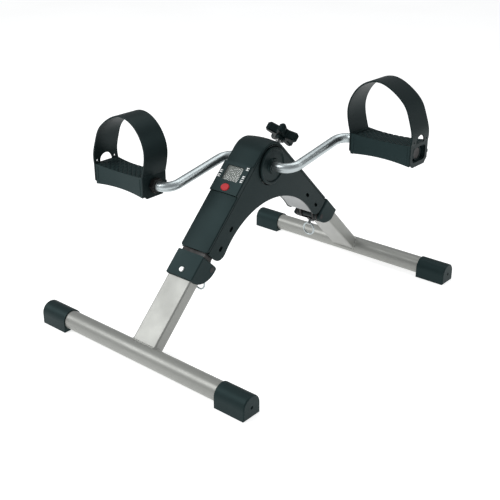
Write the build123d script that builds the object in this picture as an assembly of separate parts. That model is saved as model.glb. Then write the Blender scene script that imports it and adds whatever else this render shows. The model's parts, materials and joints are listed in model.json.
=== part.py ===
from build123d import *
import os
from math import cos, pi, radians, sin, sqrt

# Folding pedal exerciser. Millimetres, +Z up, origin on the floor under the middle.
# +X is to the right of someone facing the display from the front, which is the -Y side.
# The machine is symmetric front to back, so one arm and one leg are drawn and mirrored.
#
# Along an arm two coordinates are used: "t" runs down and outwards along the arm, at 45
# degrees, and "n" is the distance from the origin square to the arm's outer face.

os.makedirs("parts", exist_ok=True)

# ---- driving dimensions -------------------------------------------------------------
C45 = sqrt(0.5)

HUB_Z = 218.9
HUB_N = HUB_Z * C45
HUB_T = -HUB_Z * C45

HOUSING_HALF = 24.8
ARM_FACE_N = 188.0
ARM_CROWN_N = 190.0
ARM_END_T = 3.4
ARCH_RADIUS = 122.6
ARCH_CENTRE_Z = 46.3
TOE_RADIUS = 14.0
COVER_WALL = 2.2
COVER_LIP_N = 184.8
SIDE_PLATE_TOP_N = 184.0
SIDE_WALL_X = (22.4, 24.8)
SEAM = 0.4
SCREW_TN = ((-14.0, 167.0), (-45.0, 167.0))

CONSOLE_T = (-131.0, -84.0)
CONSOLE_CROWN_N = 192.0
CONSOLE_SHOULDER_N = 191.2
WINDOW_T = -114.2
WINDOW_SIZE = (28.4, 23.0)
BUTTON_T = -92.1
BUTTON_RADII = (7.0, 5.4)
BUTTON_TRAVEL = 1.5
DOME_REAR_T = -98.0

FRAME_SIDE_X = (13.3, 16.3)
FRAME_BOTTOM_HALF = 22.2
FRAME_SHEET = 2.6

DISC_RADIUS = 26.8
ROD_RADIUS = 7.0
SPINDLE_RADIUS = 5.0
CRANK_ELBOW_X = 58.0
CRANK_THROW = 122.0
CRANK_TILT = 10.15
CRANK_BEND_RADIUS = 19.0
SPINDLE_STEP_X = 79.0
SPINDLE_END_X = 180.6

DRUM_RADIUS = 17.2
DRUM_HALF = 9.0
BAND_THICKNESS = 1.6
BAND_GAP = 0.3
BOLT_OFFSET = DRUM_RADIUS + BAND_GAP + BAND_THICKNESS / 2
BOLT_T = HUB_T + BOLT_OFFSET
BOLT_RADIUS = 4.0
BAND_BAR_N = HUB_N + 11.2
KNOB_RADIUS = 25.0
KNOB_N = (207.0, 220.5)
KNOB_LOBES = 5

PEDAL_INNER_X = 86.8
PEDAL_LENGTH = 100.0
PEDAL_WIDTH = 44.5
PEDAL_HEIGHT = 29.8
PEDAL_WAIST = 2.7
STRAP_THICKNESS = 2.2
STRAP_HALF = 22.3
STRAP_TOP_HALF = 20.4
STRAP_RISE = 95.0
STRAP_SPRING = 15.0
STRAP_FOOT = -18.0

PIVOT = (16.0, 161.5)
EAR_RADIUS = 7.4
EAR_X = (10.2, 13.2)
LUG_X = (16.6, 19.6)
PIN_RADIUS = 4.0
TUBE_HALF = 21.15
TUBE_N = (167.9, 186.1)
TUBE_WALL = 1.5
TUBE_TOP_T = 22.0
SLEEVE_HALF = 23.85
SLEEVE_INNER_HALF = 21.35
SLEEVE_T = (9.0, 46.5)
SLEEVE_FACE_N = 189.4
SLEEVE_ARC_CENTRE = (15.0, 186.0)
SLEEVE_ARC_RADIUS = 32.0
RIVET_T = 35.5
LOCK_T = 28.0
LOCK_TRAVEL = 4.0
PLUNGER_RADIUS = 2.5
RING_RADIUS = 9.5
RING_WIRE = 1.3
RING_EYE_N = 150.0

BAR_Y = 238.5
BAR_Z = 14.8
BAR_RADIUS = 13.45
BAR_HALF_LENGTH = 187.4
FOOT_HALF_LENGTH = 190.0
CAP_LENGTH = 48.0
CAP_HALF_WIDTH = 15.2

T_DIR = Vector(0, C45, -C45)
N_DIR = Vector(0, C45, C45)


# ---- helpers ------------------------------------------------------------------------
def save(name, shape):
    """Writes one sub-part."""
    shape.label = name
    export_step(shape, f"parts/{name}.step")


def arm(t, n):
    """(Y, Z) of a point given along and square to the rear arm."""
    return ((t + n) * C45, (n - t) * C45)


def point(x, t, n):
    """Space point of an arm point at the given x."""
    return Vector(x, *arm(t, n))


def slab(sketch, x0, x1):
    """A flat (Y, Z) sketch made solid between two x planes."""
    return extrude(Plane.YZ.offset(x0) * sketch, amount=x1 - x0, dir=(1, 0, 0))


def both_sides(shape):
    """The shape and its mirror image in the middle plane, as one group."""
    return Compound(children=[shape, mirror(shape, about=Plane.YZ)])


def arm_polygon(*points_tn):
    """Closed (Y, Z) sketch through arm points."""
    return Polygon(*[arm(t, n) for t, n in points_tn], align=None)


def arm_rect(t0, t1, n0, n1):
    """(Y, Z) sketch of a rectangle in arm coordinates."""
    return arm_polygon((t0, n0), (t1, n0), (t1, n1), (t0, n1))


def arm_circle(t, n, radius):
    """(Y, Z) sketch of a circle at an arm point."""
    return Pos(*arm(t, n)) * Circle(radius)


def section_plane(t):
    """Plane square to the arm at t: local x is X, local y is n, its normal is -t."""
    return Plane(origin=T_DIR * t, x_dir=(1, 0, 0), z_dir=T_DIR * -1)


def along_arm(section, t0, t1):
    """An (X, n) section run along the arm between two t values."""
    return extrude(section_plane(t1) * section, amount=t1 - t0, dir=T_DIR * -1)


def face_plane(n):
    """Plane parallel to the arm's outer face: local x is X, local y is t, normal n."""
    return Plane(origin=N_DIR * n, x_dir=(1, 0, 0), z_dir=N_DIR)


def on_face(sketch, t, n0, n1, x=0.0):
    """An (X, t) sketch centred at (x, t), made solid from n0 to n1."""
    return extrude(face_plane(n0) * (Pos(x, t) * sketch), amount=n1 - n0, dir=N_DIR)


def n_cylinder(radius, t, n0, n1, x=0.0):
    """Round bar square to the arm's face."""
    return on_face(Circle(radius), t, n0, n1, x)


def x_cylinder(radius, y, z, x0, x1):
    """Round bar along X."""
    return slab(Pos(y, z) * Circle(radius), x0, x1)


def front(shape):
    """Mirror image on the front arm."""
    return mirror(shape, about=Plane.XZ)


def arch_outline(face_n, end_t, arch_radius, toe_radius):
    """(Y, Z) outline of the housing: two 45 degree arms over a round arch."""
    apex = face_n / C45
    outer = arm(end_t, face_n)
    inner = arm(end_t, HUB_N - 35)
    body = Polygon((0, apex), outer, inner, (-inner[0], inner[1]), (-outer[0], outer[1]), align=None)
    body = body - Pos(0, ARCH_CENTRE_Z) * Circle(arch_radius)
    top = body.vertices().sort_by(Axis.Y)[-1]
    body = fillet(top, face_n - HUB_N)
    toes = body.vertices().sort_by(Axis.Y)[:2]
    return fillet(toes, toe_radius)


# ---- housing ------------------------------------------------------------------------
def crowned_section(shoulder, crown, wall, lip):
    """(X, n) section of a cover: crowned face with a lip down each side."""
    def outline(half, low, side, top):
        edges = Polyline((-half, side), (-half, low), (half, low), (half, side))
        edges += ThreePointArc((half, side), (0, top), (-half, side))
        return make_face(edges)

    outer = outline(HOUSING_HALF, lip, shoulder, crown)
    corners = outer.vertices().sort_by(Axis.Y)[-2:]
    outer = fillet(corners, 1.4)
    inner = outline(HOUSING_HALF - wall, lip - 1, shoulder - wall, crown - wall)
    return outer - inner


def rounded_plan(t0, t1, radius, end_radius):
    """Tall block whose plan rounds the corners of a cover at its t1 end."""
    plan = Rectangle(2 * HOUSING_HALF, t1 - t0 + 20)
    ends = plan.vertices().sort_by(Axis.Y)[-2:]
    plan = fillet(ends, end_radius)
    return on_face(plan, (t0 + t1) / 2 - 10, radius - 12, radius + 12)


COVER_SECTION = crowned_section(ARM_FACE_N, ARM_CROWN_N, COVER_WALL, COVER_LIP_N)


def arm_cover(t0):
    """Straight cover from t0 to the arm's end."""
    body = along_arm(COVER_SECTION, t0, ARM_END_T)
    return body & rounded_plan(t0, ARM_END_T, ARM_FACE_N, 5.5)


def dome_cover():
    """Cover that wraps the hub and runs a short way down both arms."""
    hub_axis = Axis((0, 0, HUB_Z), (1, 0, 0))
    dome = revolve(section_plane(HUB_T) * COVER_SECTION, axis=hub_axis, revolution_arc=90)
    rear = along_arm(COVER_SECTION, HUB_T, DOME_REAR_T)
    ahead = front(along_arm(COVER_SECTION, HUB_T, CONSOLE_T[0] - SEAM))
    hole = n_cylinder(BOLT_RADIUS + 1.4, BOLT_T, 180, 195)
    return dome + rear + ahead - hole


def console_bezel():
    """Raised cover of the counter, with its window and button opening."""
    section = crowned_section(CONSOLE_SHOULDER_N, CONSOLE_CROWN_N, 2.6, COVER_LIP_N)
    body = along_arm(section, CONSOLE_T[0], CONSOLE_T[1])
    window = on_face(RectangleRounded(*WINDOW_SIZE, 2.0), WINDOW_T, 180, 196)
    button = on_face(Ellipse(BUTTON_RADII[0] + 0.4, BUTTON_RADII[1] + 0.4), BUTTON_T, 180, 196)
    return front(body - window - button)


def counter_parts():
    """Lens, display, board, cell and reset button behind the bezel."""
    lens_size = (WINDOW_SIZE[0] - 0.6, WINDOW_SIZE[1] - 0.6)
    save("window_lens", front(on_face(RectangleRounded(*lens_size, 1.7), WINDOW_T, 188.7, 190.9)))
    save("display_module", front(on_face(Rectangle(31, 26), WINDOW_T, 185.6, 188.6)))
    board_t = (WINDOW_T + BUTTON_T) / 2 - 2
    board = on_face(Rectangle(40, 38), board_t, 184.0, 185.5)
    switch = on_face(Rectangle(6, 6), BUTTON_T, 185.5, 186.6)
    save("counter_board", front(board + switch))
    save("button_cell", front(n_cylinder(5.8, WINDOW_T, 180.4, 183.9)))
    cap = on_face(Ellipse(*BUTTON_RADII), BUTTON_T, 188.6, 193.2)
    cap = chamfer(cap.faces().sort_by(Axis((0, 0, 0), N_DIR))[-1].edges(), 0.8)
    rim = on_face(Ellipse(BUTTON_RADII[0] + 1, BUTTON_RADII[1] + 1), BUTTON_T, 188.2, 188.9)
    save("reset_button", front(cap + rim))


def side_cover():
    """Right side cover: a flat cheek with a hub opening and deep oval screw wells."""
    cheek = slab(arch_outline(SIDE_PLATE_TOP_N, ARM_END_T, ARCH_RADIUS, TOE_RADIUS), *SIDE_WALL_X)
    cheek = cheek - x_cylinder(DISC_RADIUS + 1.5, 0, HUB_Z, 20, 30)
    for t, n in SCREW_TN:
        boss = slab(arm_circle(t, n, 6.2), FRAME_SIDE_X[1] + 0.1, SIDE_WALL_X[0])
        well = slab(Pos(*arm(t, n)) * Rot(0, 0, -45) * SlotOverall(8.6, 5.2), 18.2, 30)
        hole = slab(arm_circle(t, n, 1.6), 10, 20)
        for place in (lambda s: s, front):
            cheek = cheek + place(boss)
            cheek = cheek - place(well) - place(hole)
    return cheek


def cover_screws():
    """Eight identical screws at the bottoms of the wells."""
    screws = []
    for t, n in SCREW_TN:
        head = slab(arm_circle(t, n, 2.5), 18.3, 20.3)
        shank = slab(arm_circle(t, n, 1.5), FRAME_SIDE_X[0], 18.3)
        screw = head + shank
        screws += [screw, front(screw)]
    screws += [mirror(s, about=Plane.YZ) for s in list(screws)]
    return Compound(children=screws)


def inner_frame():
    """Welded frame: arched bottom sheet, two side plates and a bolt bridge."""
    plate = arch_outline(182.4, -1.5, ARCH_RADIUS + 0.2, 12.0)
    bottom = plate & Pos(0, ARCH_CENTRE_Z) * Circle(ARCH_RADIUS + 0.2 + FRAME_SHEET)
    frame = slab(bottom, -FRAME_BOTTOM_HALF, FRAME_BOTTOM_HALF)
    cheek = slab(plate, *FRAME_SIDE_X)
    cheek = cheek - x_cylinder(8.0, 0, HUB_Z, 0, 30)
    for t, n in SCREW_TN:
        hole = slab(arm_circle(t, n, 1.6), 10, 20)
        cheek = cheek - hole - front(hole)
    cheek = cheek - slab(arm_circle(*ANCHOR_TN, 2.55), 0, 30)
    bridge = slab(arm_rect(BOLT_T - 9, BOLT_T + 9, 179.4, 182.4), -FRAME_SIDE_X[0], FRAME_SIDE_X[0])
    bridge = bridge - n_cylinder(BOLT_RADIUS + 0.06, BOLT_T, 170, 190)
    return frame + cheek + mirror(cheek, about=Plane.YZ) + bridge


def hub_disc():
    """Right hub disc: dished cap with a raised rim and boss, on a spigot."""
    profile = Polyline(
        (16.4, 14.0), (16.4, 16.0), (24.0, 16.0), (24.0, 26.8), (27.2, 26.8), (28.4, 25.6),
        (28.4, 23.4), (26.6, 21.6), (26.6, 11.6), (28.0, 10.4), (29.4, 9.8), (29.4, 7.3),
        (24.4, 7.3), (24.4, 14.0), (16.4, 14.0),
    )
    face = make_face(Plane.XY * profile)
    return Pos(0, 0, HUB_Z) * revolve(face, axis=Axis.X)


# ---- crank and friction brake ------------------------------------------------------
CRANK_Y = CRANK_THROW * cos(radians(CRANK_TILT))
CRANK_RISE = CRANK_THROW * sin(radians(CRANK_TILT))
ANCHOR_TN = (HUB_T - BOLT_OFFSET, HUB_N + 15.0)


def crank_rod():
    """One bent rod: spindle, arm, hub shaft, arm, spindle."""
    right_end = (SPINDLE_STEP_X, CRANK_Y, HUB_Z + CRANK_RISE)
    right_elbow = (CRANK_ELBOW_X, CRANK_Y, HUB_Z + CRANK_RISE)
    right_hub = (CRANK_ELBOW_X, 0, HUB_Z)
    left_hub = (-CRANK_ELBOW_X, 0, HUB_Z)
    left_elbow = (-CRANK_ELBOW_X, -CRANK_Y, HUB_Z - CRANK_RISE)
    left_end = (-SPINDLE_STEP_X, -CRANK_Y, HUB_Z - CRANK_RISE)
    path = FilletPolyline(
        left_end, left_elbow, left_hub, right_hub, right_elbow, right_end, radius=CRANK_BEND_RADIUS
    )
    start = Plane(origin=left_end, z_dir=(1, 0, 0))
    rod = sweep(start * Circle(ROD_RADIUS), path=path)
    for side in (1, -1):
        y = side * CRANK_Y
        z = HUB_Z + side * CRANK_RISE
        ends = sorted((side * (SPINDLE_STEP_X - 1), side * SPINDLE_END_X))
        rod = rod + x_cylinder(SPINDLE_RADIUS, y, z, *ends)
    return rod


def spindle_groups():
    """Hexagon lock nuts at the pedals' inner ends, and round cap nuts at the outer ends."""
    inner = []
    outer = []
    for side in (1, -1):
        place = Pos(0, side * CRANK_Y, HUB_Z + side * CRANK_RISE)
        nut = slab(RegularPolygon(9.5, 6, major_radius=False), 79.4, 86.2) - x_cylinder(5.01, 0, 0, 70, 90)
        cap = x_cylinder(8.0, 0, 0, 177.4, 182.6) - x_cylinder(5.01, 0, 0, 170, 180.7)
        if side < 0:
            nut = mirror(nut, about=Plane.YZ)
            cap = mirror(cap, about=Plane.YZ)
        inner.append(place * nut)
        outer.append(place * cap)
    save("spindle_lock_nuts", Compound(children=inner))
    save("spindle_end_nuts", Compound(children=outer))


def crank_bushes():
    """Two flanged bushes that carry the hub shaft in the frame's side plates."""
    sleeve = x_cylinder(7.98, 0, HUB_Z, 11.2, FRAME_SIDE_X[1])
    flange = x_cylinder(10.5, 0, HUB_Z, FRAME_SIDE_X[1], FRAME_SIDE_X[1] + 1.5)
    bush = sleeve + flange - x_cylinder(ROD_RADIUS + 0.05, 0, HUB_Z, 5, 25)
    return both_sides(bush)


def friction_drum():
    """Brake drum fixed on the hub shaft, with a pocket for the counter's magnet."""
    drum = x_cylinder(DRUM_RADIUS, 0, HUB_Z, -DRUM_HALF, DRUM_HALF)
    drum = drum - x_cylinder(ROD_RADIUS + 0.01, 0, HUB_Z, -20, 20)
    pocket = x_cylinder(3.0, 0, 0, DRUM_HALF - 3, DRUM_HALF + 1)
    return drum - Pos(*MAGNET_AT) * pocket


MAGNET_AT = (0, -11.6 * C45, HUB_Z + 11.6 * C45)


def friction_band():
    """Felt-lined band: half a turn round the drum, with an eye at each end."""
    inner = DRUM_RADIUS + BAND_GAP
    outer = inner + BAND_THICKNESS
    wrap = arm_circle(HUB_T, HUB_N, outer) - arm_circle(HUB_T, HUB_N, inner)
    wrap = wrap & arm_rect(HUB_T - 30, HUB_T + 30, HUB_N - 30, HUB_N)
    half = BAND_THICKNESS / 2
    bolt_tail = arm_rect(BOLT_T - half, BOLT_T + half, HUB_N, BAND_BAR_N - 2.8)
    anchor_tail = arm_rect(ANCHOR_TN[0] - half, ANCHOR_TN[0] + half, HUB_N, ANCHOR_TN[1] - 3.2)
    bolt_eye = arm_circle(BOLT_T, BAND_BAR_N, 3.6) - arm_circle(BOLT_T, BAND_BAR_N, 2.1)
    anchor_eye = arm_circle(*ANCHOR_TN, 4.1) - arm_circle(*ANCHOR_TN, 2.55)
    return slab(wrap + bolt_tail + anchor_tail + bolt_eye + anchor_eye, -8, 8)


def tension_nut():
    """Block on the tension bolt, with two legs and a bar that the band hooks on."""
    block = slab(arm_rect(BOLT_T - 6, BOLT_T + 6, 170, 176), -13, 13)
    leg = slab(arm_rect(BOLT_T - 3, BOLT_T + 3, BAND_BAR_N - 3, 170), 9.5, 13)
    bar = slab(arm_circle(BOLT_T, BAND_BAR_N, 2.0), -13, 13)
    hole = n_cylinder(BOLT_RADIUS + 0.06, BOLT_T, 169.9, 180)
    return block + leg + mirror(leg, about=Plane.YZ) + bar - hole


def tension_bolt():
    """Bolt from the knob down through the bridge, with a collar on each side of it."""
    shank = n_cylinder(BOLT_RADIUS, BOLT_T, 170.2, 210)
    collars = n_cylinder(5.2, BOLT_T, 182.7, 184.4) + n_cylinder(5.2, BOLT_T, 177.9, 179.1)
    return shank + collars


def tension_knob():
    """Five-lobed knob with a short hub round the bolt."""
    low, high = KNOB_N
    first = 9.0
    plan = Circle(9)
    root = Pos(7, 0) * Circle(6.6)
    tip = Pos(KNOB_RADIUS - 4.8, 0) * Circle(4.8)
    lobe = make_hull(root.edges() + tip.edges())
    for k in range(KNOB_LOBES):
        plan = plan + Rot(0, 0, first + k * 360 / KNOB_LOBES) * lobe
    notches = plan.vertices().filter_by(lambda v: Vector(v).length < 13)
    plan = fillet(notches, 2.5)
    head = on_face(plan, BOLT_T, low, high)
    along_n = Axis((0, 0, 0), N_DIR)
    head = chamfer(head.faces().sort_by(along_n)[-1].edges(), 2.4)
    head = chamfer(head.faces().sort_by(along_n)[0].edges(), 1.6)
    hub = n_cylinder(7.5, BOLT_T, low - 4.5, low)
    return head + hub - n_cylinder(BOLT_RADIUS + 0.01, BOLT_T, low - 10, 210.1)


def reed_sensor():
    """Counter's pick-up on the right side plate, facing the magnet."""
    return Pos(11.9, MAGNET_AT[1], MAGNET_AT[2]) * Rot(45, 0, 0) * Box(2.4, 11, 5)


# ---- pedals -------------------------------------------------------------------------
def strap_line():
    """Middle line of the strap's arch, across the pedal (x) and above the spindle (y)."""
    x0 = PEDAL_INNER_X + STRAP_THICKNESS / 2
    x1 = PEDAL_INNER_X + PEDAL_LENGTH - STRAP_THICKNESS / 2
    top = STRAP_RISE - STRAP_THICKNESS / 2
    return Spline(
        (x0, STRAP_SPRING), (x0 - 5.6, 35), (x0 - 4.5, 58), (x0 + 7, 79), (x0 + 36, top), (x1 - 25, 79),
        (x1 - 8, 58), (x1 - 0.7, 35), (x1, STRAP_SPRING), tangents=((0, 1), (0, -1)),
    )


def strap_edge(line, offset):
    """One face line of the band, parallel to the middle line, with straight ends."""
    samples = []
    for k in range(13):
        tangent = line % (k / 12)
        samples.append((line @ (k / 12)) + Vector(-tangent.Y, tangent.X) * offset)
    arch = Spline(*samples)
    first = Line((samples[0].X, STRAP_FOOT), samples[0])
    last = Line(samples[-1], (samples[-1].X, STRAP_FOOT))
    return first, arch, last


def strap_band():
    """Right foot strap, at the spindle: tall arch over the tread, flat ends beside it."""
    line = strap_line()
    outer_edge = strap_edge(line, STRAP_THICKNESS / 2)
    inner_edge = strap_edge(line, -STRAP_THICKNESS / 2)
    ends = [Line(outer_edge[0] @ 0, inner_edge[0] @ 0), Line(outer_edge[2] @ 1, inner_edge[2] @ 1)]
    band = Plane.XZ.offset(-30) * make_face([*outer_edge, *inner_edge, *ends])
    solid = extrude(band, amount=60)
    side = Polygon(
        (-15, -17.2), (15, -17.2), (STRAP_HALF, -10), (STRAP_HALF, 16), (STRAP_TOP_HALF, 100),
        (-STRAP_TOP_HALF, 100), (-STRAP_HALF, 16), (-STRAP_HALF, -10), align=None,
    )
    side = side + Pos(STRAP_HALF, -1) * Rectangle(3.4, 4)
    solid = solid & slab(side, PEDAL_INNER_X - 20, PEDAL_INNER_X + PEDAL_LENGTH + 20)
    outer = PEDAL_INNER_X + PEDAL_LENGTH
    moon = (Pos(0, 15.2) * Circle(11.5)) & (Pos(0, 35.2) * Rectangle(40, 40))
    window = RectangleRounded(33, 21, 5)
    holes = (Pos(16.4, 18.6) * Circle(1.6)) + (Pos(-16.4, 18.6) * Circle(1.6))
    for opening in (moon, window, holes):
        solid = solid - slab(opening, outer - 8, outer + 8)
    return solid - x_cylinder(7.2, 0, 0, PEDAL_INNER_X - 8, PEDAL_INNER_X + 8)


def waisted(length, size):
    """(x, y) sketch of a bar whose long sides curve in by the pedal's waist."""
    half = length / 2
    edge = size / 2
    outline = ThreePointArc((-half, edge), (0, edge - PEDAL_WAIST), (half, edge))
    outline += Line((half, edge), (half, -edge))
    outline += ThreePointArc((half, -edge), (0, -edge + PEDAL_WAIST), (-half, -edge))
    outline += Line((-half, -edge), (-half, edge))
    return make_face(outline)


def pedal_body():
    """Right pedal body, at the spindle: waisted block, hollow below and at its outer end."""
    length = PEDAL_LENGTH - 2 * STRAP_THICKNESS - 0.2
    middle = PEDAL_INNER_X + PEDAL_LENGTH / 2
    side_view = extrude(Plane.XZ * waisted(length, PEDAL_HEIGHT), amount=40, both=True)
    plan_view = extrude(Plane.XY * waisted(length, PEDAL_WIDTH - 1), amount=40, both=True)
    body = Pos(middle, 0, 0) * (side_view & plan_view)
    outer = PEDAL_INNER_X + PEDAL_LENGTH
    body = body - slab(RectangleRounded(32, 20, 4.5), 175, outer + 5)
    body = body - x_cylinder(5.8, 0, 0, 80, 180)
    body = body - x_cylinder(7.02, 0, 0, 80, 101) - x_cylinder(7.02, 0, 0, 161, 180)
    body = body + slab(Circle(9.7) - Circle(8.6), 175, outer - 3.5)
    body = body - Pos(PEDAL_INNER_X + 7.5, 0, PEDAL_HEIGHT / 2) * Box(3.2, 33, 4.5)
    for column in range(3):
        x = PEDAL_INNER_X + 18 + 27.5 * column
        for y in (-13.4, 13.4):
            body = body - Pos(x + 6, y, -8.5) * Box(22, 9.5, 17)
    return body


def pedal_bushes():
    """The two plain bushes of a right pedal, at the spindle."""
    bore = x_cylinder(SPINDLE_RADIUS + 0.05, 0, 0, 80, 190)
    inner = x_cylinder(7.0, 0, 0, 89.3, 101) - bore
    outer = x_cylinder(7.0, 0, 0, 161, 176.8) - bore
    return Compound(children=[inner, outer])


def save_pedals():
    """Right pedal on the raised spindle, left pedal on the lowered one."""
    makers = {"pedal_body": pedal_body, "foot_strap": strap_band, "pedal_bushes": pedal_bushes}
    for name, make in makers.items():
        piece = make()
        save(f"right_{name}", Pos(0, CRANK_Y, HUB_Z + CRANK_RISE) * piece)
        mirrored = mirror(piece, about=Plane.YZ)
        save(f"left_{name}", Pos(0, -CRANK_Y, HUB_Z - CRANK_RISE) * mirrored)


# ---- legs, drawn at the rear --------------------------------------------------------
def hinge_ears():
    """Two blackened plates welded into the arm, joined by the lock tongue and the neck."""
    cheek = arm_rect(-22, 13.9, 160.2, 182.6)
    cheek = cheek + arm_circle(*PIVOT, EAR_RADIUS)
    cheek = cheek + arm_polygon((1, 160.2), (PIVOT[0], PIVOT[1] - EAR_RADIUS), (20, 165), (13.9, 170))
    cheek = cheek - arm_circle(*PIVOT, PIN_RADIUS + 0.05)
    ear = slab(cheek, *EAR_X)
    web = slab(arm_rect(-10, 11, 170.5, 173.5), -EAR_X[0], EAR_X[0])
    tongue = slab(arm_rect(10, 34, 170.5, 173.5), -9, 9)
    neck = slab(arm_rect(-1.2, 8.6, 182.2, 185.2), -20.4, 20.4)
    flange = slab(arm_rect(-1.2, 8.6, 168, 182.2), 18.0, 20.4)
    lock_hole = on_face(SlotOverall(6.9, 5.5, rotation=90), LOCK_T + 0.7, 160, 180)
    right = ear + flange
    return right + mirror(right, about=Plane.YZ) + web + tongue + neck - lock_hole


def hinge_lugs():
    """Two plates welded inside the leg tube, with the stop tabs that meet the ears."""
    shape = arm_circle(*PIVOT, EAR_RADIUS)
    shape = shape + arm_polygon(
        (16, 154.1), (21.6, 158), (21.6, 170.0), (44, 170.0), (44, 184.0), (14.2, 184.0), (14.2, 168.7)
    )
    shape = shape - arm_circle(*PIVOT, PIN_RADIUS + 0.01)
    tab = slab(arm_rect(14.2, 17.2, 175, 184.0), EAR_X[0], LUG_X[0])
    return both_sides(slab(shape, *LUG_X) + tab)


def hinge_spacers():
    """Washers between ears and lugs, and the tube between the ears, on the hinge pin."""
    ring = arm_circle(*PIVOT, 7.0) - arm_circle(*PIVOT, PIN_RADIUS + 0.02)
    core = arm_circle(*PIVOT, 5.5) - arm_circle(*PIVOT, PIN_RADIUS + 0.02)
    washer = slab(ring, EAR_X[1] + 0.1, LUG_X[0])
    middle = slab(core, -EAR_X[0] + 0.1, EAR_X[0] - 0.1)
    return Compound(children=[washer, mirror(washer, about=Plane.YZ), middle])


def hinge_pin():
    """Hinge pin, flush with the sleeve's sides."""
    half = SLEEVE_HALF + 0.3
    return slab(arm_circle(*PIVOT, PIN_RADIUS), -half, half)


def leg_tube():
    """Rectangular leg tube, open at the top and saddle-cut to the foot bar."""
    bar_t = (BAR_Y - BAR_Z) * C45
    middle = sum(TUBE_N) / 2
    depth = TUBE_N[1] - TUBE_N[0]
    outer = Pos(0, middle) * RectangleRounded(2 * TUBE_HALF, depth, 2.6)
    inner = Pos(0, middle) * RectangleRounded(2 * (TUBE_HALF - TUBE_WALL), depth - 2 * TUBE_WALL, 0.6)
    tube = along_arm(outer - inner, TUBE_TOP_T, bar_t)
    tube = tube - x_cylinder(BAR_RADIUS + 0.01, BAR_Y, BAR_Z, -40, 40)
    plunger_hole = n_cylinder(PLUNGER_RADIUS + 0.3, LOCK_T, 160, 175)
    drain_hole = n_cylinder(2.2, 54, 160, 175, x=9)
    rivet_hole = n_cylinder(2.4, RIVET_T, 180, 190)
    return tube - plunger_hole - drain_hole - rivet_hole


def foot_bar():
    """Round cross tube of a foot."""
    tube = x_cylinder(BAR_RADIUS, BAR_Y, BAR_Z, -BAR_HALF_LENGTH, BAR_HALF_LENGTH)
    return tube - x_cylinder(BAR_RADIUS - TUBE_WALL, BAR_Y, BAR_Z, -200, 200)


def foot_caps():
    """Two D-shaped end caps with flat soles."""
    sole = Pos(BAR_Y, BAR_Z / 2) * Rectangle(2 * CAP_HALF_WIDTH, BAR_Z)
    crown = (Pos(BAR_Y, BAR_Z) * Circle(CAP_HALF_WIDTH)) & (Pos(BAR_Y, 1.5 * BAR_Z) * Rectangle(40, BAR_Z * 1.2))
    inner_x = FOOT_HALF_LENGTH - CAP_LENGTH
    cap = slab(sole + crown, inner_x, FOOT_HALF_LENGTH)
    end = cap.faces().sort_by(Axis.X)[-1]
    cap = fillet(end.edges(), 1.8)
    cap = cap - x_cylinder(BAR_RADIUS + 0.05, BAR_Y, BAR_Z, inner_x - 1, BAR_HALF_LENGTH + 0.1)
    dimple = Pos(FOOT_HALF_LENGTH, BAR_Y, BAR_Z - 1) * Sphere(2.2)
    return both_sides(cap - dimple)


def hinge_sleeve():
    """Plastic shroud over the leg's top, with a round lobe that covers the hinge."""
    t0, t1 = SLEEVE_T
    outline = arm_rect(t0, t1, 150, SLEEVE_FACE_N) & arm_circle(*SLEEVE_ARC_CENTRE, SLEEVE_ARC_RADIUS)
    inner_corner = outline.vertices().sort_by_distance((*arm(t0, 154.6), 0))[0]
    outline = fillet(inner_corner, 4.5)
    low_corner = outline.vertices().sort_by_distance((*arm(t1, SLEEVE_FACE_N), 0))[0]
    outline = chamfer(low_corner, 1.5)
    body = slab(outline, -SLEEVE_HALF, SLEEVE_HALF)
    edges = body.edges().filter_by(lambda e: abs(e.tangent_at(0.5).dot(T_DIR)) > 0.999)
    outer_edges = edges.sort_by(Axis((0, 0, 0), N_DIR))[-2:]
    body = fillet(outer_edges, 1.6)
    plan = RectangleRounded(2 * SLEEVE_HALF, t1 - t0, 3.2)
    body = body & on_face(plan, (t0 + t1) / 2, 140, 200)
    channel = arm_rect(t0 - 1, t1 + 1, TUBE_N[0] - 0.2, TUBE_N[1] + 0.2)
    lobe = arm_circle(*SLEEVE_ARC_CENTRE, SLEEVE_ARC_RADIUS - 2.2) & arm_rect(t0 - 1, 43, 150, 168)
    mouth = arm_rect(t0 - 1, 25, 150, 168)
    body = body - slab(channel + lobe + mouth, -SLEEVE_INNER_HALF, SLEEVE_INNER_HALF)
    body = body - slab(arm_circle(*PIVOT, PIN_RADIUS + 0.02), -30, 30)
    body = body - n_cylinder(6.3, LOCK_T, 150, 167)
    return body - n_cylinder(2.4, RIVET_T, 180, 195)


def sleeve_rivet():
    """Dome-headed rivet through the sleeve into the leg tube."""
    shank = n_cylinder(2.38, RIVET_T, 183.4, SLEEVE_FACE_N)
    head = n_cylinder(4.1, RIVET_T, SLEEVE_FACE_N, SLEEVE_FACE_N + 1.5)
    top = head.faces().sort_by(Axis((0, 0, 0), N_DIR))[-1]
    return shank + fillet(top.edges(), 1.2)


def lock_barrel():
    """Barrel on the leg's inner face that guides the lock plunger and its spring."""
    barrel = n_cylinder(6.0, LOCK_T, 155.4, TUBE_N[0])
    room = n_cylinder(5.0, LOCK_T, 157.2, TUBE_N[0] + 1)
    return barrel - room - n_cylinder(PLUNGER_RADIUS + 0.3, LOCK_T, 150, 160)


def lock_plunger():
    """Spring-loaded plunger with a domed nose, a collar and an eye for the ring."""
    stem = n_cylinder(PLUNGER_RADIUS, LOCK_T, 147.6, 171.4)
    nose_at = point(0, LOCK_T, 171.4)
    nose = Pos(*nose_at) * Sphere(PLUNGER_RADIUS)
    nose = nose & n_cylinder(PLUNGER_RADIUS + 1, LOCK_T, 171.0, 172.4)
    collar = n_cylinder(4.7, LOCK_T, 165.6, 167.2)
    eye = slab(arm_circle(LOCK_T, RING_EYE_N, RING_WIRE + 0.35), -10, 10)
    return stem + nose + collar - eye


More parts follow.
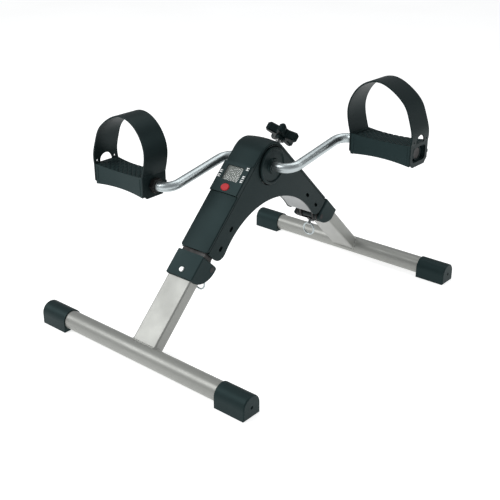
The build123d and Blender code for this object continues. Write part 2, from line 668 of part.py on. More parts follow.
def lock_spring():
    """Coil spring between the barrel's floor and the plunger's collar."""
    turns = 4
    wire = 0.45
    low = 157.2 + wire
    high = 165.6 - wire
    coil = Helix(pitch=(high - low) / turns, height=high - low, radius=4.1)
    start = Plane(origin=coil @ 0, z_dir=coil % 0)
    spring = sweep(start * Circle(wire), path=coil, is_frenet=True)
    base = Plane(origin=point(0, LOCK_T, low), x_dir=(1, 0, 0), z_dir=N_DIR)
    return base.location * spring


def lock_ring():
    """Pull ring that hangs from the plunger's eye."""
    eye = point(0, LOCK_T, RING_EYE_N)
    ring = Rot(90, 0, 0) * Torus(RING_RADIUS, RING_WIRE)
    return Pos(eye.X, eye.Y, eye.Z - RING_RADIUS) * ring


LEG_PIECES = {
    "hinge_ears": hinge_ears,
    "hinge_lugs": hinge_lugs,
    "hinge_spacers": hinge_spacers,
    "hinge_pin": hinge_pin,
    "leg_tube": leg_tube,
    "foot_bar": foot_bar,
    "foot_caps": foot_caps,
    "hinge_sleeve": hinge_sleeve,
    "sleeve_rivet": sleeve_rivet,
    "lock_barrel": lock_barrel,
    "lock_plunger": lock_plunger,
    "lock_spring": lock_spring,
    "lock_ring": lock_ring,
}


def main():
    cheek = side_cover()
    save("right_side_cover", cheek)
    save("left_side_cover", mirror(cheek, about=Plane.YZ))
    save("front_cover", front(arm_cover(CONSOLE_T[1] + SEAM)))
    save("rear_cover", arm_cover(DOME_REAR_T + SEAM))
    save("dome_cover", dome_cover())
    save("console_bezel", console_bezel())
    counter_parts()
    save("cover_screws", cover_screws())
    save("inner_frame", inner_frame())
    disc = hub_disc()
    save("right_hub_disc", disc)
    save("left_hub_disc", mirror(disc, about=Plane.YZ))
    save("crank_rod", crank_rod())
    spindle_groups()
    save("crank_bushes", crank_bushes())
    save("friction_drum", friction_drum())
    magnet = x_cylinder(2.98, 0, 0, DRUM_HALF - 3, DRUM_HALF)
    save("drum_magnet", Pos(*MAGNET_AT) * magnet)
    save("friction_band", friction_band())
    save("band_anchor_pin", slab(arm_circle(*ANCHOR_TN, 2.5), -FRAME_SIDE_X[1], FRAME_SIDE_X[1]))
    save("tension_nut", tension_nut())
    save("tension_bolt", tension_bolt())
    save("tension_knob", tension_knob())
    save("reed_sensor", reed_sensor())
    save_pedals()
    for name, make in LEG_PIECES.items():
        piece = make()
        save(f"rear_{name}", piece)
        save(f"front_{name}", front(piece))


main()
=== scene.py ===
import json
import math

import bmesh
import bpy
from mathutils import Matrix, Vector, noise


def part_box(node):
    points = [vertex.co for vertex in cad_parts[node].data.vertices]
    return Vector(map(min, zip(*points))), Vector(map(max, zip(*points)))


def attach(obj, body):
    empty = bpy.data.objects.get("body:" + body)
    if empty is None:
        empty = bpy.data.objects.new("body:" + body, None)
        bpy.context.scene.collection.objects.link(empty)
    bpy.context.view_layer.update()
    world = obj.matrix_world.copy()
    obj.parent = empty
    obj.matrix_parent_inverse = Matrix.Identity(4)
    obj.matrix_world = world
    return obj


# Folding pedal exerciser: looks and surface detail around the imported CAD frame.
# Metres. The display faces -Y, the brake knob is on the +Y arm, +X is the right side.

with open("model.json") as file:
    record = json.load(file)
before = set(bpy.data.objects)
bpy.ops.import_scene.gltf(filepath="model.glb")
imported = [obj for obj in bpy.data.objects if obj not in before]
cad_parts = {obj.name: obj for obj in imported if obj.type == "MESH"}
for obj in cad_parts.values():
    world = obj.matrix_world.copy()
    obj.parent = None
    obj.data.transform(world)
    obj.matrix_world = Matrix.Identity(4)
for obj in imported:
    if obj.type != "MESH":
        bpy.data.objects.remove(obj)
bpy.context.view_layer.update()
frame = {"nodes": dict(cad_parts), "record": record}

MM = 0.001
C45 = math.sqrt(0.5)
FRONT = -1
REAR = 1

# ---- materials ----------------------------------------------------------------------


class Shader:
    """A small node builder: one Principled surface with procedural colour, gloss and bump."""

    def __init__(self, name):
        self.material = bpy.data.materials.new(name)
        self.material.use_nodes = True
        self.nodes = self.material.node_tree.nodes
        self.links = self.material.node_tree.links
        self.bsdf = self.nodes["Principled BSDF"]
        self.coord = self.nodes.new("ShaderNodeTexCoord")
        self.height = None

    def mapped(self, scale=(1, 1, 1), turn_x=0.0):
        """Object coordinates, turned about X and stretched."""
        node = self.nodes.new("ShaderNodeMapping")
        node.inputs["Rotation"].default_value = (math.radians(turn_x), 0, 0)
        node.inputs["Scale"].default_value = scale
        self.links.new(self.coord.outputs["Object"], node.inputs["Vector"])
        return node.outputs["Vector"]

    def noise(self, scale, detail=4.0, rough=0.55, vector=None, distortion=0.0):
        node = self.nodes.new("ShaderNodeTexNoise")
        node.inputs["Scale"].default_value = scale
        node.inputs["Detail"].default_value = detail
        node.inputs["Roughness"].default_value = rough
        node.inputs["Distortion"].default_value = distortion
        self.links.new(vector or self.coord.outputs["Object"], node.inputs["Vector"])
        return node.outputs["Fac"]

    def voronoi(self, scale, feature="F1", vector=None):
        node = self.nodes.new("ShaderNodeTexVoronoi")
        node.feature = feature
        node.inputs["Scale"].default_value = scale
        self.links.new(vector or self.coord.outputs["Object"], node.inputs["Vector"])
        return node.outputs["Distance"]

    def remap(self, value, low, high, to_low, to_high):
        node = self.nodes.new("ShaderNodeMapRange")
        node.inputs["From Min"].default_value = low
        node.inputs["From Max"].default_value = high
        node.inputs["To Min"].default_value = to_low
        node.inputs["To Max"].default_value = to_high
        self.links.new(value, node.inputs["Value"])
        return node.outputs["Result"]

    def ramp(self, value, *stops):
        node = self.nodes.new("ShaderNodeValToRGB")
        ramp = node.color_ramp
        while len(ramp.elements) < len(stops):
            ramp.elements.new(0.5)
        for element, (position, colour) in zip(ramp.elements, stops):
            element.position = position
            element.color = (*colour, 1)
        self.links.new(value, node.inputs["Fac"])
        return node.outputs["Color"]

    def mix(self, factor, first, second, blend="MIX"):
        node = self.nodes.new("ShaderNodeMix")
        node.data_type = "RGBA"
        node.blend_type = blend
        sockets = {s.name: s for s in node.inputs if s.type == "RGBA"}
        if hasattr(factor, "node"):
            self.links.new(factor, node.inputs[0])
        else:
            node.inputs[0].default_value = factor
        for name, value in (("A", first), ("B", second)):
            if hasattr(value, "node"):
                self.links.new(value, sockets[name])
            else:
                sockets[name].default_value = (*value, 1)
        return [o for o in node.outputs if o.type == "RGBA"][0]

    def colour(self, value):
        self.links.new(value, self.bsdf.inputs["Base Color"])

    def roughness(self, value):
        self.links.new(value, self.bsdf.inputs["Roughness"])

    def bump(self, value, distance, strength=1.0):
        """Adds one bump layer over those already there."""
        node = self.nodes.new("ShaderNodeBump")
        node.inputs["Distance"].default_value = distance
        node.inputs["Strength"].default_value = strength
        self.links.new(value, node.inputs["Height"])
        if self.height:
            self.links.new(self.height, node.inputs["Normal"])
        self.height = node.outputs["Normal"]
        self.links.new(self.height, self.bsdf.inputs["Normal"])

    def fixed(self, **values):
        for name, value in values.items():
            self.bsdf.inputs[name.replace("_", " ")].default_value = value


def shade(colour, factor):
    return tuple(min(1.0, c * factor) for c in colour)


def moulded(name, colour, gloss=(0.38, 0.55), grain=900.0, depth=0.00006, specular=0.20):
    """Moulded plastic: spark-eroded grain, flow streaks, faint scuffs and handled patches."""
    s = Shader(name)
    cloud = s.noise(14.0, 5.0, 0.6)
    streak = s.noise(30.0, 3.0, 0.5, s.mapped((1.0, 0.25, 0.25), 45))
    base = s.ramp(cloud, (0.30, shade(colour, 0.86)), (0.72, shade(colour, 1.16)))
    flow = s.ramp(streak, (0.35, shade(colour, 0.93)), (0.70, shade(colour, 1.10)))
    scuff = s.noise(160.0, 6.0, 0.72, s.mapped((1.0, 3.0, 1.0), 30), 0.6)
    mask = s.remap(scuff, 0.66, 0.78, 0.0, 0.35)
    s.colour(s.mix(mask, s.mix(0.5, base, flow), shade(colour, 2.1)))
    patch = s.noise(9.0, 3.0, 0.5)
    s.roughness(s.remap(patch, 0.3, 0.7, gloss[0], gloss[1]))
    s.bump(s.noise(grain, 3.0, 0.6), depth)
    s.bump(s.voronoi(grain * 0.7), depth * 0.6)
    s.fixed(Specular_IOR_Level=specular, Specular_Tint=(0.58, 0.93, 0.95, 1.0))
    return s.material


def painted(name, colour, gloss=(0.34, 0.48), flake=0.10):
    """Sprayed metallic paint: orange peel, fine flake, dust and small dark chips."""
    s = Shader(name)
    cloud = s.noise(7.0, 4.0, 0.5)
    base = s.ramp(cloud, (0.30, shade(colour, 0.95)), (0.70, shade(colour, 1.05)))
    sparkle = s.voronoi(2600.0)
    flakes = s.ramp(sparkle, (0.15, shade(colour, 1.0 + flake)), (0.6, shade(colour, 1.0 - flake)))
    grime = s.noise(55.0, 6.0, 0.7)
    chips = s.remap(s.noise(210.0, 2.0, 0.5), 0.80, 0.84, 0.0, 0.8)
    worn = s.mix(s.remap(grime, 0.62, 0.80, 0.0, 0.22), s.mix(0.45, base, flakes), shade(colour, 0.55))
    s.colour(s.mix(chips, worn, (0.09, 0.085, 0.08)))
    s.roughness(s.remap(s.noise(24.0, 4.0, 0.6), 0.3, 0.7, gloss[0], gloss[1]))
    s.bump(s.noise(260.0, 2.0, 0.5), 0.00003)
    s.bump(chips, 0.00004, 0.6)
    s.fixed(Metallic=0.28, Coat_Weight=0.15, Coat_Roughness=0.25)
    return s.material


def plated(name, colour, gloss=(0.12, 0.26), draw=(1.0, 40.0, 40.0), haze=0.25):
    """Bright plating over drawn steel: lengthwise draw lines, haze and small water spots."""
    s = Shader(name)
    lines = s.noise(60.0, 5.0, 0.7, s.mapped(draw))
    haze_map = s.noise(18.0, 5.0, 0.6)
    base = s.ramp(haze_map, (0.3, shade(colour, 0.88)), (0.7, shade(colour, 1.08)))
    spots = s.remap(s.voronoi(190.0), 0.02, 0.10, 1.0, 0.0)
    s.colour(s.mix(s.remap(spots, 0.0, 1.0, 0.0, haze), base, shade(colour, 0.6)))
    rough = s.remap(s.noise(34.0, 5.0, 0.65), 0.3, 0.7, gloss[0], gloss[1])
    s.roughness(rough)
    s.bump(lines, 0.00003, 0.5)
    s.bump(s.noise(700.0, 3.0, 0.6), 0.00001)
    s.fixed(Metallic=1.0)
    return s.material


def blackened(name):
    """Phosphated steel: nearly black, blotchy, with bright rubbed spots."""
    s = Shader(name)
    base = s.ramp(s.noise(40.0, 6.0, 0.7), (0.3, (0.012, 0.012, 0.013)), (0.75, (0.045, 0.044, 0.043)))
    rub = s.remap(s.noise(95.0, 5.0, 0.7), 0.68, 0.78, 0.0, 0.5)
    s.colour(s.mix(rub, base, (0.25, 0.25, 0.25)))
    s.roughness(s.remap(s.noise(60.0), 0.3, 0.7, 0.38, 0.62))
    s.bump(s.noise(420.0, 4.0, 0.7), 0.00004)
    s.fixed(Metallic=0.6)
    return s.material


def cast(name, colour):
    """Turned cast iron: rings of tool marks round the hub axis and dark pores."""
    s = Shader(name)
    base = s.ramp(s.noise(45.0, 6.0, 0.7), (0.3, shade(colour, 0.7)), (0.7, shade(colour, 1.15)))
    pores = s.remap(s.voronoi(420.0), 0.0, 0.12, 1.0, 0.0)
    s.colour(s.mix(pores, base, shade(colour, 0.35)))
    s.roughness(s.remap(s.noise(120.0), 0.3, 0.7, 0.3, 0.5))
    s.bump(s.noise(300.0, 3.0, 0.6, s.mapped((30.0, 1.0, 1.0))), 0.00004)
    s.fixed(Metallic=0.85)
    return s.material


def felt(name, colour):
    """Felt lining: fibres in every direction over a matted ground."""
    s = Shader(name)
    fibre = s.noise(900.0, 8.0, 0.8, s.mapped((1.0, 1.0, 0.3)), 2.0)
    s.colour(s.ramp(fibre, (0.3, shade(colour, 0.6)), (0.7, shade(colour, 1.5))))
    s.roughness(s.remap(fibre, 0.3, 0.7, 0.85, 1.0))
    s.bump(fibre, 0.0004)
    s.fixed(Sheen_Weight=0.4)
    return s.material


def nylon(name):
    """Natural nylon: milky, slightly see-through look with a yellowed cast."""
    s = Shader(name)
    s.colour(s.ramp(s.noise(35.0), (0.3, (0.62, 0.60, 0.52)), (0.7, (0.78, 0.76, 0.69))))
    s.roughness(s.remap(s.noise(80.0), 0.3, 0.7, 0.35, 0.5))
    s.bump(s.noise(500.0), 0.00003)
    s.fixed(Subsurface_Weight=0.15, Subsurface_Scale=0.002)
    return s.material


def display_face(name):
    """Liquid crystal face: grey-green reflector with a fine pixel weave and soft mottling."""
    s = Shader(name)
    weave = s.voronoi(2400.0)
    cloud = s.noise(55.0, 3.0, 0.5)
    ground = s.ramp(cloud, (0.3, (0.070, 0.081, 0.068)), (0.7, (0.098, 0.110, 0.092)))
    s.colour(s.mix(0.25, ground, s.ramp(weave, (0.1, (0.060, 0.070, 0.056)), (0.6, (0.112, 0.120, 0.100)))))
    s.roughness(s.remap(cloud, 0.3, 0.7, 0.28, 0.42))
    s.bump(weave, 0.00001)
    return s.material


def clear_lens(name):
    """Clear window: see-through with a hard gloss, hairline scratches and dust."""
    s = Shader(name)
    hair = s.noise(220.0, 6.0, 0.8, s.mapped((1.0, 14.0, 2.0), 20), 1.0)
    s.colour(s.ramp(s.noise(60.0), (0.3, (0.42, 0.46, 0.44)), (0.7, (0.55, 0.60, 0.57))))
    s.roughness(s.remap(hair, 0.4, 0.75, 0.03, 0.16))
    s.bump(hair, 0.00001, 0.4)
    s.fixed(Alpha=0.16, IOR=1.49)
    s.material.blend_method = "BLEND"
    return s.material


def circuit(name):
    """Solder-masked board: green with copper traces showing through."""
    s = Shader(name)
    trace = s.remap(s.voronoi(260.0, "DISTANCE_TO_EDGE"), 0.05, 0.07, 1.0, 0.0)
    s.colour(s.mix(trace, (0.015, 0.10, 0.045), (0.05, 0.22, 0.09)))
    s.roughness(s.remap(s.noise(90.0), 0.3, 0.7, 0.28, 0.42))
    s.bump(trace, 0.00003)
    return s.material


def printed(name, colour):
    """Pad-printed ink: slightly uneven cover and thickness."""
    s = Shader(name)
    s.colour(s.ramp(s.noise(700.0, 4.0, 0.7), (0.3, shade(colour, 0.82)), (0.6, colour)))
    s.roughness(s.remap(s.noise(400.0), 0.3, 0.7, 0.45, 0.6))
    s.bump(s.noise(1500.0), 0.00001)
    return s.material


CHARCOAL = (0.0072, 0.0125, 0.0130)
MATERIALS = {
    "cover_plastic": moulded("cover_plastic", CHARCOAL, (0.40, 0.56)),
    "bezel_plastic": moulded("bezel_plastic", shade(CHARCOAL, 0.95), (0.34, 0.48), 1100.0, 0.00005),
    "disc_plastic": moulded("disc_plastic", shade(CHARCOAL, 0.85), (0.30, 0.46)),
    "cap_plastic": moulded("cap_plastic", shade(CHARCOAL, 1.6), (0.42, 0.60), 800.0, 0.00008),
    "pedal_plastic": moulded("pedal_plastic", shade(CHARCOAL, 2.0), (0.42, 0.60), 800.0, 0.00008),
    "strap_plastic": moulded("strap_plastic", shade(CHARCOAL, 0.85), (0.38, 0.52), 1000.0, 0.00005),
    "knob_plastic": moulded("knob_plastic", shade(CHARCOAL, 0.80), (0.40, 0.58), 800.0, 0.00008),
    "sensor_black": moulded("sensor_black", (0.012, 0.012, 0.013), (0.25, 0.4)),
    "button_red": moulded("button_red", (0.50, 0.022, 0.028), (0.35, 0.5), 900.0, 0.00004),
    "lens_clear": clear_lens("lens_clear"),
    "display_glass": display_face("display_glass"),
    "board_green": circuit("board_green"),
    "cell_steel": plated("cell_steel", (0.66, 0.66, 0.64), (0.22, 0.36), (1.0, 1.0, 1.0)),
    "zinc_steel": plated("zinc_steel", (0.52, 0.54, 0.54), (0.28, 0.42), (1.0, 1.0, 1.0)),
    "chrome_steel": plated("chrome_steel", (0.47, 0.52, 0.53), (0.36, 0.42), (1.0, 18.0, 18.0), 0.10),
    "magnet_nickel": plated("magnet_nickel", (0.66, 0.65, 0.60), (0.1, 0.2), (1.0, 1.0, 1.0)),
    "frame_grey": painted("frame_grey", (0.27, 0.28, 0.28), (0.45, 0.6), 0.04),
    "tube_paint": painted("tube_paint", (0.295, 0.300, 0.281)),
    "nylon_natural": nylon("nylon_natural"),
    "nylon_black": moulded("nylon_black", (0.012, 0.013, 0.013), (0.40, 0.55), 700.0, 0.00004),
    "black_steel": blackened("black_steel"),
    "felt_band": felt("felt_band", (0.10, 0.085, 0.065)),
    "drum_iron": cast("drum_iron", (0.42, 0.42, 0.42)),
}
INK_WHITE = printed("ink_white", (0.82, 0.84, 0.83))
LCD_DARK = printed("lcd_segment", (0.022, 0.030, 0.026))
# Painted shade: a near-black finish laid on the screw heads where the hollows of their cross recesses would
# be dark with shade.
RECESS_SHADE_PAINT = moulded("painted_recess_shade", (0.004, 0.004, 0.004), (0.6, 0.8))

# ---- mesh helpers -------------------------------------------------------------------


def arm_point(x, t, n, side):
    """A point at x (mm), t down the arm and n square to it, on the front or rear arm."""
    return Vector((x, side * (t + n) * C45, (n - t) * C45)) * MM


def face_axes(side):
    """Unit vectors of an arm's face: across it (+X), down the arm, and outwards."""
    down = Vector((0, side * C45, -C45))
    out = Vector((0, side * C45, C45))
    return Vector((1, 0, 0)), down, out


def finish_piece(name, bm, material, body, smooth_angle=35.0):
    """Makes the object from a bmesh, sets its finish, and joins it to its body."""
    bmesh.ops.recalc_face_normals(bm, faces=bm.faces)
    mesh = bpy.data.meshes.new(name)
    bm.to_mesh(mesh)
    bm.free()
    mesh.materials.append(material)
    for polygon in mesh.polygons:
        polygon.use_smooth = True
    mesh.set_sharp_from_angle(angle=math.radians(smooth_angle))
    obj = bpy.data.objects.new(name, mesh)
    bpy.context.scene.collection.objects.link(obj)
    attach(obj, body)
    return obj


def add_bar(bm, centre, axes, size, bevel, top_scale=0.8):
    """A small moulded bar: its top is a little smaller and the edges round its top are rounded."""
    along, across, up = axes
    half = Vector(size) / 2
    corners = []
    for k in (-1, 1):
        scale = 1.0 if k < 0 else top_scale
        for i, j in ((-1, -1), (1, -1), (1, 1), (-1, 1)):
            offset = along * (i * (half.x - (1 - scale) * half.y)) + across * (j * half.y * scale)
            corners.append(bm.verts.new(centre + offset + up * (k * half.z)))
    faces = [corners[3::-1], corners[4:8]]
    for i in range(4):
        j = (i + 1) % 4
        faces.append([corners[i], corners[j], corners[j + 4], corners[i + 4]])
    made = [bm.faces.new(f) for f in faces]
    edges = list({e for f in made[1:2] for e in f.edges})
    bmesh.ops.bevel(bm, geom=edges, offset=bevel, segments=2, profile=0.5, affect="EDGES")


def add_tube(bm, points, radii, closed=False, sides=10):
    """A tube of varying radius along a polyline."""
    rings = []
    count = len(points)
    normal = None
    for i, point in enumerate(points):
        ahead = points[(i + 1) % count] if closed or i < count - 1 else points[i]
        behind = points[i - 1] if closed or i > 0 else points[i]
        tangent = (ahead - behind).normalized()
        if normal is None:
            normal = tangent.orthogonal().normalized()
        normal = (normal - tangent * normal.dot(tangent)).normalized()
        side = tangent.cross(normal)
        ring = []
        for k in range(sides):
            a = 2 * math.pi * k / sides
            ring.append(bm.verts.new(point + (normal * math.cos(a) + side * math.sin(a)) * radii[i]))
        rings.append(ring)
    spans = count if closed else count - 1
    for i in range(spans):
        first = rings[i]
        second = rings[(i + 1) % count]
        shift = 0
        if closed and i == count - 1:
            shift = min(range(sides), key=lambda k: (second[k].co - first[0].co).length)
        for k in range(sides):
            a = second[(k + shift) % sides]
            b = second[(k + 1 + shift) % sides]
            bm.faces.new((first[k], first[(k + 1) % sides], b, a))
    if not closed:
        bm.faces.new(rings[0][::-1])
        bm.faces.new(rings[-1])


def add_patch(bm, centre, axes, outline, thickness):
    """A thin flat shape, given as outline points across and down, raised off a face."""
    across, down, out = axes
    low = [bm.verts.new(centre + across * x * MM + down * y * MM) for x, y in outline]
    high = [bm.verts.new(v.co + out * thickness) for v in low]
    bm.faces.new(high)
    bm.faces.new(low[::-1])
    count = len(low)
    for i in range(count):
        j = (i + 1) % count
        bm.faces.new((low[i], low[j], high[j], high[i]))


# ---- pedals -------------------------------------------------------------------------
PEDAL_LENGTH = 95.4
PEDAL_HEIGHT = 29.8
PEDAL_WIDTH = 43.5
PEDAL_WAIST = 2.7
WAIST_RADIUS = (PEDAL_LENGTH ** 2 / 4 + PEDAL_WAIST ** 2) / (2 * PEDAL_WAIST)


def waist(u):
    """How far a pedal face curves in at u along the pedal, below its ends."""
    return PEDAL_WAIST - (WAIST_RADIUS - math.sqrt(WAIST_RADIUS ** 2 - u ** 2))


def pedal_centre(hand):
    low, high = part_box(f"{hand}_pedal_body")
    return (low + high) / 2


def tread(hand):
    """Rows of short staggered ribs moulded on the pedal's waisted top."""
    centre = pedal_centre(hand)
    bm = bmesh.new()
    inward = -1 if hand == "right" else 1
    rows = 9
    pitch_x = 8.8
    for row in range(rows):
        y = -17.2 + row * 34.4 / (rows - 1)
        shift = 0.5 * pitch_x if row % 2 else 0.0
        for k in range(-5, 5):
            u = (k + 0.25) * pitch_x + shift
            if abs(u) > 43 or u * inward > 37.5:
                continue
            if abs(y) > PEDAL_WIDTH / 2 - waist(u) - 1.2:
                continue
            top = PEDAL_HEIGHT / 2 - waist(u)
            slope = u / WAIST_RADIUS
            along = Vector((1, 0, slope)).normalized()
            up = Vector((-slope, 0, 1)).normalized()
            at = centre + Vector((u, y, top + 0.25)) * MM
            size = (5.8 * MM, 1.9 * MM, 1.4 * MM)
            add_bar(bm, at, (along, Vector((0, 1, 0)), up), size, 0.25 * MM)
    finish_piece(f"{hand}_tread_ribs", bm, MATERIALS["pedal_plastic"], f"{hand}_pedal")


def pedal_frames(hand):
    """Raised border lines near the ends of the pedal's front and back faces."""
    centre = pedal_centre(hand)
    bm = bmesh.new()
    for face in (-1, 1):
        for end in (-1, 1):
            u = end * 43.5
            out = Vector((0, face, 0))
            y = face * (PEDAL_WIDTH / 2 - waist(u) + 0.1)
            at = centre + Vector((u, y, 0)) * MM
            axes = (Vector((0, 0, 1)), Vector((1, 0, 0)), out)
            add_bar(bm, at, axes, (24 * MM, 1.3 * MM, 0.8 * MM), 0.25 * MM)
    finish_piece(f"{hand}_pedal_borders", bm, MATERIALS["pedal_plastic"], f"{hand}_pedal")


# ---- console ------------------------------------------------------------------------
CONSOLE_FACE_N = 192.0
CONSOLE_DROP = 0.8
CONSOLE_HALF = 24.8
SEGMENTS = {"0": "abcdef", "1": "bc", "3": "abcdg", "5": "acdfg", "8": "abcdefg"}


def bezel_n(x):
    """Height of the crowned bezel face at x."""
    return CONSOLE_FACE_N - CONSOLE_DROP * (x / CONSOLE_HALF) ** 2


def console_marks():
    """Small plain function marks printed on each side of the window."""
    bm = bmesh.new()
    places = [(20.4, -125.6), (20.4, -112.6), (20.4, -106.4), (-20.4, -113.8), (-20.4, -106.8)]
    for x, t in places:
        for offset in (-1.5, 1.5):
            outline = [(-2.2, -0.6), (2.2, -0.6), (2.2, 0.6), (-2.2, 0.6)]
            centre = arm_point(x, t + offset, bezel_n(x) + 0.02, FRONT)
            add_patch(bm, centre, face_axes(FRONT), outline, 0.00012)
        stem = [(-0.6, -1.5), (0.6, -1.5), (0.6, 1.5), (-0.6, 1.5)]
        add_patch(bm, arm_point(x - 0.8, t, bezel_n(x) + 0.02, FRONT), face_axes(FRONT), stem, 0.00011)
    finish_piece("console_marks", bm, INK_WHITE, "housing")


def segment_outlines(x, t, width, height, letters):
    """Bars of one seven-segment figure whose middle is at (x, t)."""
    w = width / 2
    h = height / 2
    spots = {"a": (0, -h, 0), "g": (0, 0, 0), "d": (0, h, 0), "f": (-w, -h / 2, 1), "b": (w, -h / 2, 1),
             "e": (-w, h / 2, 1), "c": (w, h / 2, 1)}
    for letter in letters:
        dx, dt, upright = spots[letter]
        long = (h if upright else width) * 0.42
        thin = 0.44
        tip = long + thin
        if upright:
            outline = [(0, -tip), (thin, -long), (thin, long), (0, tip), (-thin, long), (-thin, -long)]
        else:
            outline = [(-tip, 0), (-long, -thin), (long, -thin), (tip, 0), (long, thin), (-long, thin)]
        yield x + dx, t + dt, outline


def display_figures():
    """Segments of the read-out, between the display's face and its window."""
    bm = bmesh.new()
    rows = [(-109.4, 8.0, 3.9, "1080"), (-119.6, 4.4, 2.5, "0530")]
    for t, height, width, text in rows:
        start = -(len(text) - 1) * width * 0.85
        for k, letter in enumerate(text):
            x = start + k * width * 1.7
            for sx, st, outline in segment_outlines(x, t, width, height, SEGMENTS[letter]):
                add_patch(bm, arm_point(sx, st, 188.62, FRONT), face_axes(FRONT), outline, 0.00004)
    finish_piece("display_figures", bm, LCD_DARK, "housing")


# ---- welds, threads and fastener detail ---------------------------------------------
LEG_NAMES = {FRONT: "front", REAR: "rear"}
TUBE_HALF = 21.15
TUBE_N = (167.9, 186.1)
BAR_RADIUS = 13.45
BAR_TN = ((238.5 - 14.8) * C45, (238.5 + 14.8) * C45)


def weld_bead(side):
    """A rippled bead round the joint between a leg tube and its foot bar."""
    radius = 2.6
    half = TUBE_HALF
    low, high = TUBE_N
    corners = [(half - radius, high), (half, high - radius), (half, low + radius), (half - radius, low),
               (-half + radius, low), (-half, low + radius), (-half, high - radius), (-half + radius, high)]
    path = []
    for i, (x0, n0) in enumerate(corners):
        x1, n1 = corners[(i + 1) % len(corners)]
        steps = max(2, int(math.hypot(x1 - x0, n1 - n0) / 0.9))
        for k in range(steps):
            f = k / steps
            path.append((x0 + (x1 - x0) * f, n0 + (n1 - n0) * f))
    points = []
    radii = []
    for i, (x, n) in enumerate(path):
        t = BAR_TN[0] - math.sqrt(BAR_RADIUS ** 2 - (n - BAR_TN[1]) ** 2)
        wander = noise.noise(Vector((i * 0.21, side * 7.0, 0.0)))
        points.append(arm_point(x * 1.01, t - 0.25 + 0.5 * wander, n, side))
        ripple = 0.22 * math.sin(i * 1.55)
        radii.append((1.55 + ripple + 0.45 * wander) * MM)
    bm = bmesh.new()
    add_tube(bm, points, radii, closed=True, sides=12)
    name = LEG_NAMES[side]
    finish_piece(f"{name}_weld_bead", bm, MATERIALS["tube_paint"], f"{name}_leg", 60)


BOLT_T = -154.785 + 17.2 + 0.3 + 0.8
BOLT_RADIUS = 4.0
THREAD_START_N = 189.2
THREAD_PITCH = 1.25
KNOB_LOBES = 5
KNOB_FIRST_LOBE = 9
KNOB_MIDDLE_N = 213.35
KNOB_TIP_AT = 20.2
KNOB_TIP_RADIUS = 4.9
SCREW_TS = (-14.0, -45.0)
SCREW_N = 167.0
SCREW_HEAD_X = 20.31


def bolt_thread():
    """The screw thread that shows between the knob and the cover."""
    across, down, out = face_axes(REAR)
    points = []
    turns = 10
    steps = 28
    for k in range(turns * steps + 1):
        a = 2 * math.pi * k / steps
        n = THREAD_START_N + THREAD_PITCH * k / steps
        offset = across * math.cos(a) + down * math.sin(a)
        points.append(arm_point(0, BOLT_T, n, REAR) + offset * BOLT_RADIUS * MM)
    bm = bmesh.new()
    add_tube(bm, points, [0.42 * MM] * len(points), sides=6)
    finish_piece("bolt_thread", bm, MATERIALS["zinc_steel"], "knob", 50)


def knob_grips():
    """Fine ribs round the end of each lobe of the brake knob."""
    across, down, out = face_axes(REAR)
    bm = bmesh.new()
    for lobe in range(KNOB_LOBES):
        base = math.radians(KNOB_FIRST_LOBE + 360 / KNOB_LOBES * lobe)
        axis = across * math.cos(base) + down * math.sin(base)
        for k in range(-3, 4):
            a = base + math.radians(24 * k)
            radial = across * math.cos(a) + down * math.sin(a)
            tangent = across * -math.sin(a) + down * math.cos(a)
            at = arm_point(0, BOLT_T, KNOB_MIDDLE_N, REAR)
            at = at + axis * KNOB_TIP_AT * MM + radial * KNOB_TIP_RADIUS * MM
            add_bar(bm, at, (out, tangent, radial), (9.0 * MM, 0.9 * MM, 0.8 * MM), 0.2 * MM)
    finish_piece("knob_grip_ribs", bm, MATERIALS["knob_plastic"], "knob")


def ring_points(centre, first, second, radius, count=28):
    return [centre + (first * math.cos(2 * math.pi * k / count) + second * math.sin(2 * math.pi * k / count))
            * radius for k in range(count)]


def rivet_marks(side):
    """A thin raised ring mark on a sleeve rivet's head."""
    across, down, out = face_axes(side)
    centre = arm_point(0, 35.5, 190.85, side)
    bm = bmesh.new()
    add_tube(bm, ring_points(centre, across, down, 1.35 * MM), [0.22 * MM] * 28, closed=True, sides=8)
    name = LEG_NAMES[side]
    finish_piece(f"{name}_rivet_mark", bm, MATERIALS["zinc_steel"], f"{name}_leg", 60)


def screw_cross_shade():
    """Cross recesses of the cover screws, as thin near-black patches on the screw heads: painted shade
    standing in for the hollow of each recess.
    """
    bm = bmesh.new()
    for side in (FRONT, REAR):
        for hand in (-1, 1):
            for t in SCREW_TS:
                centre = arm_point(hand * SCREW_HEAD_X, t, SCREW_N, side)
                _, down, out = face_axes(side)
                axes = (down, out, Vector((hand, 0, 0)))
                long = [(-1.7, -0.35), (1.7, -0.35), (1.7, 0.35), (-1.7, 0.35)]
                turned = [(y, x) for x, y in long]
                add_patch(bm, centre, axes, long, 0.00003)
                add_patch(bm, centre, axes, turned[::-1], 0.00004)
    finish_piece("screw_cross_shade", bm, RECESS_SHADE_PAINT, "housing")


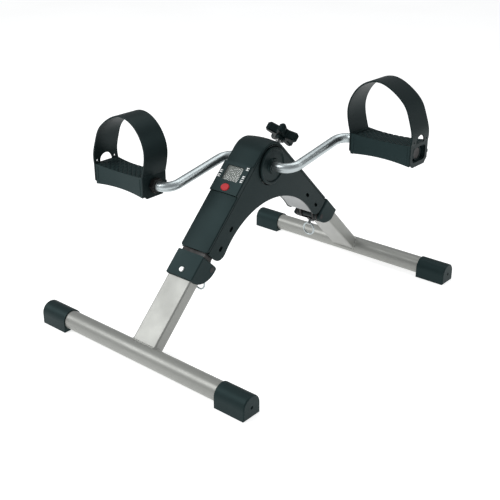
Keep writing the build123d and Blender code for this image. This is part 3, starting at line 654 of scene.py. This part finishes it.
# ---- stage --------------------------------------------------------------------------
def floor():
    """A plain pale floor under the object."""
    s = Shader("studio_floor")
    s.colour(s.ramp(s.noise(3.0, 2.0, 0.4), (0.3, (0.58, 0.58, 0.58)), (0.7, (0.62, 0.62, 0.62))))
    s.fixed(Roughness=0.9, Specular_IOR_Level=0.1)
    s.fixed(Emission_Color=(1, 1, 1, 1), Emission_Strength=0.74)
    bm = bmesh.new()
    steps = 8
    size = 14.0
    grid = [[bm.verts.new((size * (i / steps - 0.5), size * (j / steps - 0.5), 0)) for i in range(steps + 1)]
            for j in range(steps + 1)]
    for j in range(steps):
        for i in range(steps):
            bm.faces.new((grid[j][i], grid[j][i + 1], grid[j + 1][i + 1], grid[j + 1][i]))
    mesh = bpy.data.meshes.new("studio_floor")
    bm.to_mesh(mesh)
    bm.free()
    mesh.materials.append(s.material)
    obj = bpy.data.objects.new("studio_floor", mesh)
    obj.location.z = -0.0002
    bpy.context.scene.collection.objects.link(obj)


def softbox(name, place, aim, size, power, colour=(1, 1, 1)):
    light = bpy.data.lights.new(name, "AREA")
    light.shape = "RECTANGLE"
    light.size, light.size_y = size
    light.energy = power
    light.color = colour
    obj = bpy.data.objects.new(name, light)
    obj.location = place
    obj.rotation_euler = (Vector(aim) - Vector(place)).to_track_quat("-Z", "Y").to_euler()
    bpy.context.scene.collection.objects.link(obj)


def lights():
    world = bpy.data.worlds.new("studio_world")
    world.use_nodes = True
    background = world.node_tree.nodes["Background"]
    background.inputs["Color"].default_value = (0.95, 0.98, 1.0, 1)
    background.inputs["Strength"].default_value = 0.33
    bpy.context.scene.world = world
    softbox("key_light", (-1.1, -1.3, 1.5), (0, 0, 0.1), (1.1, 1.1), 26)
    softbox("top_light", (0.0, 0.5, 1.8), (0, 0, 0.1), (1.4, 1.0), 10)
    softbox("rim_light", (1.4, 0.9, 1.0), (0, 0, 0.15), (0.7, 0.7), 4)


def camera():
    """Three-quarter view from the front right, a little above the machine."""
    data = bpy.data.cameras.new("camera")
    data.lens = 62.76
    data.sensor_width = 36.0
    data.clip_end = 50
    obj = bpy.data.objects.new("camera", data)
    place = Vector((0.7496, -0.9026, 0.6119))
    aim = Vector((0.0367, -0.0612, 0.1140))
    obj.location = place
    obj.rotation_euler = (aim - place).to_track_quat("-Z", "Y").to_euler()
    bpy.context.scene.collection.objects.link(obj)
    bpy.context.scene.camera = obj
    bpy.context.scene.view_settings.view_transform = "Standard"


def dress_frame():
    """Gives every CAD node the finish of its material slot."""
    for entry in frame["record"]["subparts"]:
        node = frame["nodes"][entry["node"]]
        node.data.materials.clear()
        node.data.materials.append(MATERIALS[entry["material_slot"]])


dress_frame()
for hand in ("right", "left"):
    tread(hand)
    pedal_frames(hand)
console_marks()
display_figures()
for side in (FRONT, REAR):
    weld_bead(side)
    rivet_marks(side)
bolt_thread()
knob_grips()
screw_cross_shade()
floor()
lights()
camera()
